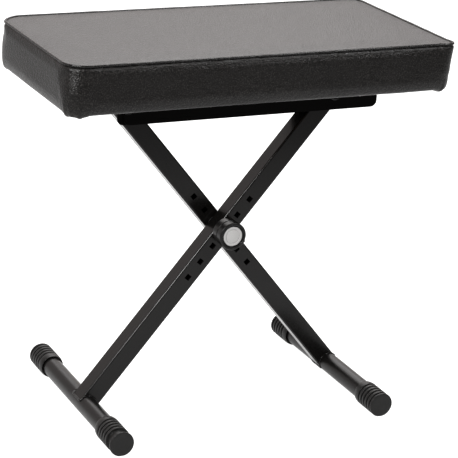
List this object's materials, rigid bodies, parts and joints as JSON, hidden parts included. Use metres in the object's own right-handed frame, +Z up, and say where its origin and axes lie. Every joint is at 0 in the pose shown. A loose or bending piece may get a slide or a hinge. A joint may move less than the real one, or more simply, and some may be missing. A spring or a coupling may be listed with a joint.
{
  "type": "piano bench",
  "caption": "Folding keyboard bench with a padded vinyl seat on crossed square-tube legs, round feet with ribbed rubber caps and a clamp knob for height setting.",
  "frame": {"origin": "on the floor under the middle of the seat", "axes": "+X along the seat to the right, +Y to the back, away from the knob, +Z up"},
  "size_m": [0.606, 0.3486, 0.58],
  "materials": {
    "vinyl": "satin",
    "piping_vinyl": "satin",
    "plywood": "matte",
    "foam": "matte",
    "powder_coat": "satin",
    "zinc_steel": "satin",
    "black_steel": "satin",
    "foot_rubber": "matte",
    "black_plastic": "matte",
    "nylon": "matte",
    "knob_plastic": "satin",
    "disc_plastic": "satin",
    "brass_insert": "satin"
  },
  "bodies": {
    "seat": {"seat_board": "plywood", "seat_foam": "foam", "seat_cover": "vinyl", "seat_piping": "piping_vinyl", "cover_staples": "zinc_steel", "tee_nuts": "zinc_steel", "seat_rail": "powder_coat", "rail_screws": "zinc_steel", "pivot_bracket": "powder_coat", "pivot_bolt": "black_steel", "pivot_nut": "zinc_steel", "pivot_spacer": "black_steel"},
    "leg_b": {"leg_b_tube": "powder_coat", "leg_b_bush": "nylon", "leg_b_plug": "black_plastic", "leg_b_foot": "powder_coat", "leg_b_weld": "powder_coat", "leg_b_cap_front": "foot_rubber", "leg_b_cap_rear": "foot_rubber", "centre_spacer": "black_plastic"},
    "leg_a": {"leg_a_tube": "powder_coat", "leg_a_plug": "black_plastic", "leg_a_foot": "powder_coat", "leg_a_weld": "powder_coat", "leg_a_cap_front": "foot_rubber", "leg_a_cap_rear": "foot_rubber", "knob_washer": "zinc_steel", "slide_pin": "black_steel", "slide_nut": "zinc_steel", "slide_bushes": "nylon", "slide_spacer": "black_steel"},
    "knob": {"knob_body": "knob_plastic", "knob_nut": "brass_insert", "knob_disc": "disc_plastic"},
    "clamp": {"clamp_bolt": "black_steel"}
  },
  "joints": [
    {"name": "leg_b_fold", "type": "hinge", "parent": "seat", "child": "leg_b", "pos_m": [-0.1686, 0, 0.48001], "axis": [0, -1, 0], "range_deg": [0, 39]},
    {"name": "leg_a_swing", "type": "hinge", "parent": "leg_b", "child": "leg_a", "pos_m": [0, 0, 0.27686], "axis": [0, 1, 0], "range_deg": [0, 78]},
    {"name": "knob_turn", "type": "hinge", "parent": "leg_a", "child": "knob", "pos_m": [0, -0.05, 0.27686], "axis": [0, 1, 0], "continuous": true},
    {"name": "clamp_draw", "type": "slide", "parent": "leg_b", "child": "clamp", "axis": [0, 1, 0], "range_m": [0, 0.095]}
  ],
  "couplings": [
    {"joint": "leg_a_swing", "follows": "leg_b_fold", "ratio": 2}
  ]
}
